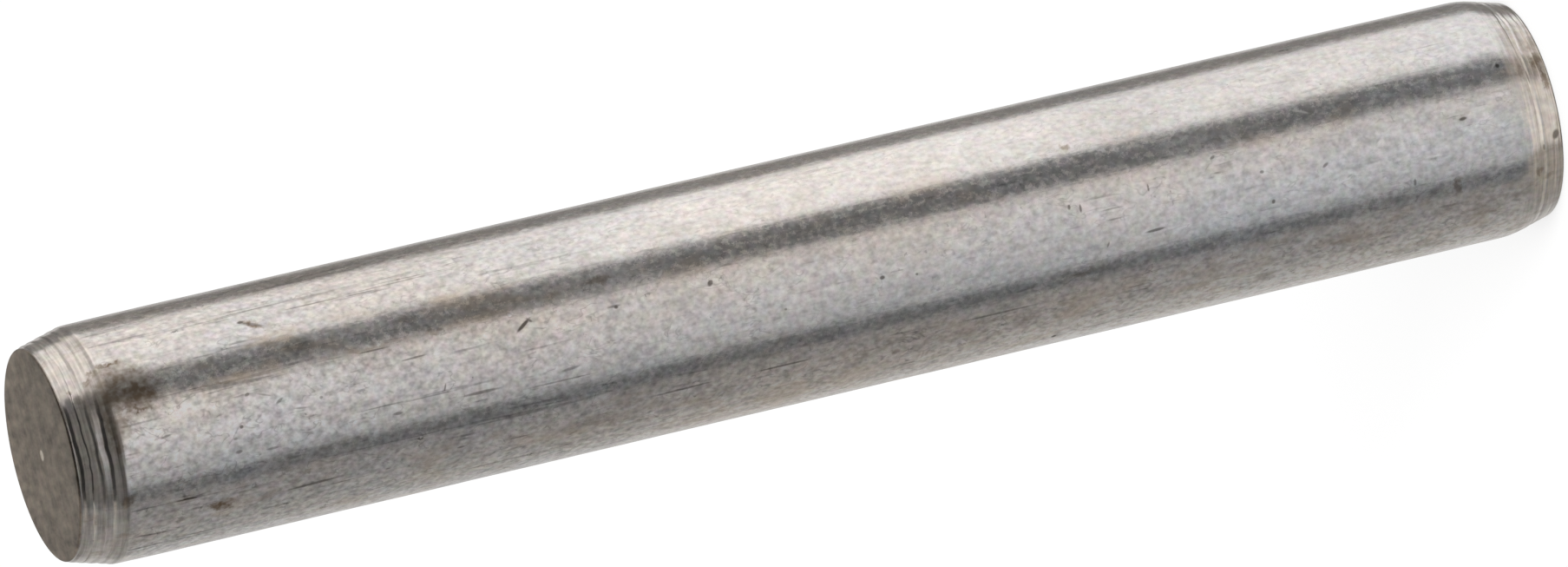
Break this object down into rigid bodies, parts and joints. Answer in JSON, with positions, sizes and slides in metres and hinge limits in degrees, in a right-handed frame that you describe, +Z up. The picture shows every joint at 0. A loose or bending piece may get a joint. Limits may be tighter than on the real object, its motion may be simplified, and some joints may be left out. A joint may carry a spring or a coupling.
{
  "type": "socket retaining pin",
  "caption": "Solid cylindrical steel pin with a ground shank and a short tapered lead at each end, for locking a square-drive socket to its driver.",
  "frame": {"origin": "middle of the bottom end face, on which the pin stands", "axes": "+Z up along the pin's axis; the pin is round, so X and Y are any two directions across it"},
  "size_m": [0.003, 0.003, 0.0197],
  "materials": {
    "steel": "ground satin shank with turned lead cones, lightly stained and pitted"
  },
  "bodies": {
    "root": {"retaining_pin": "steel"}
  },
  "joints": []
}
